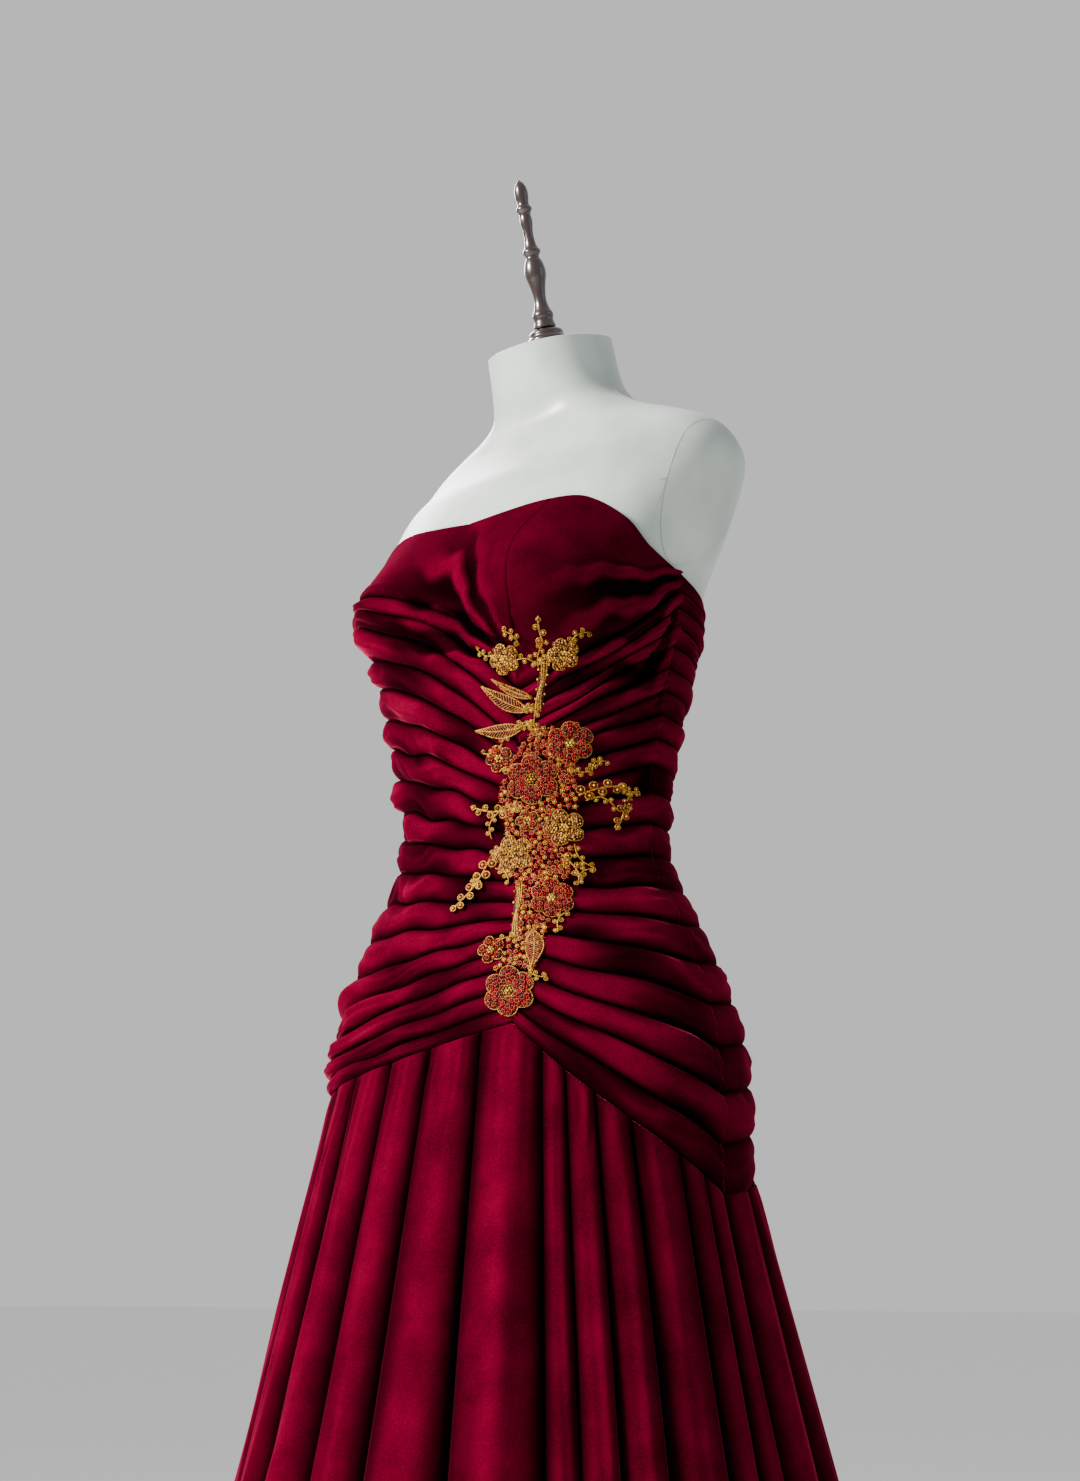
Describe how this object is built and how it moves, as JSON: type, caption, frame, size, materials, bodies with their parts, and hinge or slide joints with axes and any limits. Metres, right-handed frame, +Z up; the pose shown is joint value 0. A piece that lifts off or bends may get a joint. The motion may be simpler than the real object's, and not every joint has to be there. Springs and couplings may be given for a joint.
{
  "type": "evening dress on dress form",
  "caption": "Strapless ruched velvet evening dress with a beaded spray and a gathered floor-length skirt, on a limbless dress form with a round base.",
  "frame": {"origin": "centre of the underside of the round base, on the floor", "axes": "+Z up, wearer's front towards -Y, wearer's left towards +X"},
  "size_m": [0.7562, 0.6562, 1.6267],
  "materials": {
    "velvet": "crimson silk velvet, short pile",
    "bead_embroidery": "red glass beads on net",
    "gold_embroidery": "gold metallic thread and cord",
    "zip_tape": "woven tape with a nylon coil",
    "zip_metal": "lacquered slider and pull",
    "form_shell": "white satin glass-fibre shell",
    "finial_wood": "dark stained and lacquered turned wood",
    "stand_enamel": "black enamelled steel",
    "stand_steel": "brushed tube"
  },
  "bodies": {
    "root": {"front_right_ruched": "velvet", "front_left_ruched": "velvet", "back_right_ruched": "velvet", "back_left_ruched": "velvet", "skirt_front": "velvet", "skirt_back_left": "velvet", "skirt_back_right": "velvet", "spray_blossom_left": "bead_embroidery", "spray_blossom_right": "bead_embroidery", "flower_upper": "bead_embroidery", "bud_left": "bead_embroidery", "flower_middle": "bead_embroidery", "flower_core": "bead_embroidery", "flower_gold_right": "bead_embroidery", "flower_gold_left": "bead_embroidery", "flower_lower": "bead_embroidery", "bud_foot": "bead_embroidery", "flower_foot": "bead_embroidery", "spray_tip": "gold_embroidery", "spray_stem": "gold_embroidery", "leaf_high": "gold_embroidery", "leaf_low": "gold_embroidery", "sprig_left": "gold_embroidery", "curl_right": "gold_embroidery", "curl_drop": "gold_embroidery", "twig_right": "gold_embroidery", "sprig_low": "gold_embroidery", "stem_low": "gold_embroidery", "leaf_foot": "gold_embroidery", "zip_strip": "zip_tape", "zip_slider": "zip_metal", "form_torso": "form_shell", "arm_cap_left": "form_shell", "arm_cap_right": "form_shell", "stand_base": "stand_enamel", "stand_pole": "stand_steel", "form_plate": "finial_wood", "finial_foot": "finial_wood", "finial_spindle": "finial_wood"},
    "zip_pull_tab": {"zip_pull": "zip_metal"}
  },
  "joints": [
    {"name": "zip_pull_swing", "type": "hinge", "parent": "root", "child": "zip_pull_tab", "pos_m": [0.00241, 0.11676, 1.196], "axis": [0.9998, -0.0206, 0], "range_deg": [0, 160]}
  ]
}
